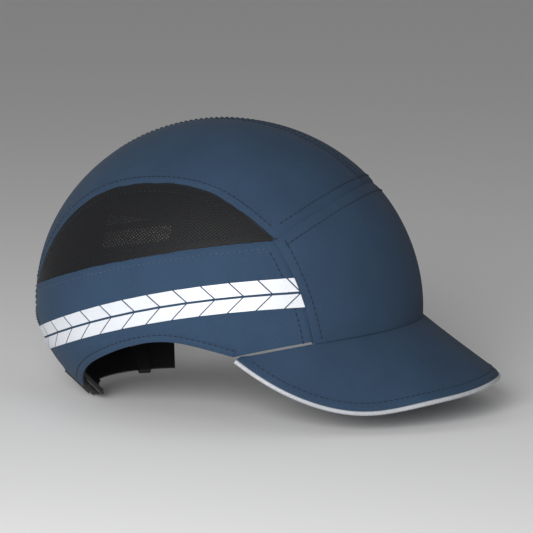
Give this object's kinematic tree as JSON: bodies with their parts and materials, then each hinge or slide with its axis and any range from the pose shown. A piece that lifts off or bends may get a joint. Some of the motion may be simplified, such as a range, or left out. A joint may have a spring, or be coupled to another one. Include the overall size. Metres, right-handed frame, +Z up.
{
  "type": "bump cap",
  "caption": "Soft-cover bump cap with a vented hard shell, mesh side panels, reflective side tape, a stiffened peak and a slip-buckle nape strap.",
  "frame": {"origin": "centre of the head opening, level with the crown's widest line", "axes": "+Z up as worn, the peak points to -Y, and the wearer's right is -X"},
  "size_m": [0.1768, 0.2604, 0.1527],
  "materials": {
    "navy_cloth": "plain weave",
    "side_cloth": "plain weave",
    "black_mesh": "knitted air mesh",
    "black_cloth": "brushed",
    "reflective": "bead-coated film",
    "piping": "bead-coated tape",
    "label_cloth": "satin ribbon",
    "foam": "closed-cell foam",
    "board": "sheet",
    "shell_plastic": "moulded",
    "strap_plastic": "moulded",
    "buckle_plastic": "moulded",
    "pin_steel": "drawn"
  },
  "bodies": {
    "cap": {"front_panel": "navy_cloth", "crown_panel_right": "navy_cloth", "crown_panel_left": "navy_cloth", "mesh_panel_right": "black_mesh", "mesh_panel_left": "black_mesh", "side_band_right": "side_cloth", "side_band_left": "side_cloth", "reflective_tape_right": "reflective", "reflective_tape_left": "reflective", "ear_binding_right": "side_cloth", "ear_binding_left": "side_cloth", "rear_binding": "navy_cloth", "centre_seam_tape": "black_cloth", "peak_board": "board", "peak_top_cover": "navy_cloth", "peak_bottom_cover": "navy_cloth", "peak_piping": "piping", "hard_shell": "shell_plastic", "crown_pad": "foam", "brow_pad": "foam", "nape_pad": "foam", "sweatband": "black_cloth", "label": "label_cloth", "strap_keeper": "buckle_plastic", "buckle_frame": "buckle_plastic", "buckle_pin": "pin_steel"},
    "strap": {"nape_strap": "strap_plastic"},
    "lever": {"buckle_lever": "buckle_plastic"}
  },
  "joints": [
    {"name": "lever_lift", "type": "hinge", "parent": "cap", "child": "lever", "pos_m": [-0.0279, 0.07737, -0.04348], "axis": [-0.3589, 0.6093, 0.7071], "range_deg": [0, 50]},
    {"name": "strap_slide", "type": "hinge", "parent": "cap", "child": "strap", "pos_m": [0, 0.03, 0], "axis": [0, 0, 1], "range_deg": [-5, 18]}
  ]
}
